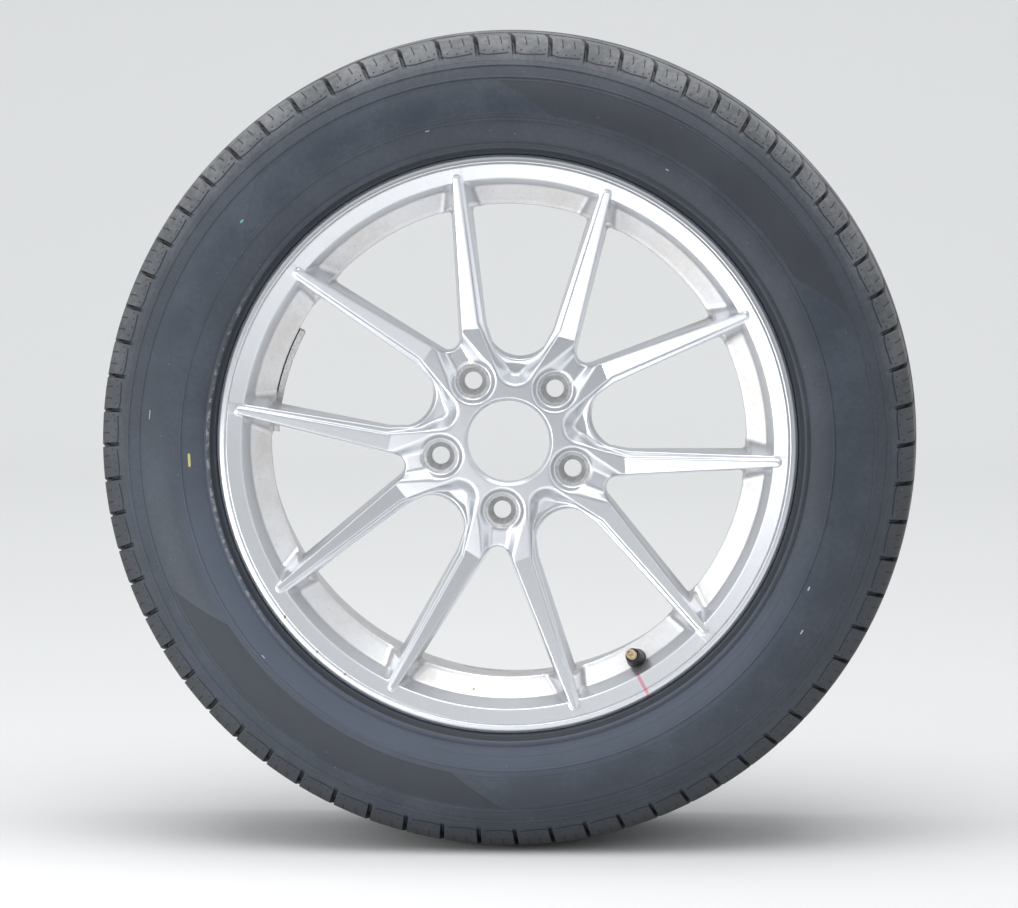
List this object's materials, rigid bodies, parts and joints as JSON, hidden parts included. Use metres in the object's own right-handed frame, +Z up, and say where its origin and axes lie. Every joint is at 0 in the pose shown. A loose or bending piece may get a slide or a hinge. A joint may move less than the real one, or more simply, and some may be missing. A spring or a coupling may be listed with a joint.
{
  "type": "car wheel with tyre",
  "caption": "Passenger-car tyre with block tread fitted on a cast twin-spoke alloy wheel, with a snap-in valve and an adhesive balance weight.",
  "frame": {"origin": "on the wheel's axis, in the middle of the rim's width", "axes": "+Y along the axle from the outer face towards the car, +Z up, +X to the right seen from outside"},
  "size_m": [0.6699, 0.226, 0.67],
  "materials": {
    "tyre_rubber": "moulded black rubber, matte, with fine ribs and light dust",
    "silver_paint": "silver metallic paint with clear coat over a casting, bare machined bolt seats, light scuffs",
    "valve_rubber": "matte black",
    "valve_brass": "dull turned brass",
    "core_brass": "turned brass",
    "core_gasket": "matte red",
    "spring_steel": "bright wire",
    "weight_grey": "satin grey coating on zinc",
    "foam_tape": "black foam"
  },
  "bodies": {
    "wheel_assembly": {"tyre": "tyre_rubber", "wheel": "silver_paint", "valve_rubber_body": "valve_rubber", "valve_stem": "valve_brass", "valve_core_housing": "core_brass", "valve_core_gasket": "core_gasket", "valve_core_spring": "spring_steel", "balance_weight": "weight_grey", "weight_tape": "foam_tape"},
    "valve_pin": {"valve_core_pin": "core_brass", "valve_core_seal": "valve_rubber"}
  },
  "joints": [
    {"name": "valve_pin_press", "type": "slide", "parent": "wheel_assembly", "child": "valve_pin", "axis": [0.1573, 0.9511, -0.266], "range_m": [0, 0.0015], "stiffness_N_per_m": 400, "springref_m": -0.004, "deforming": ["valve_core_spring"]}
  ]
}
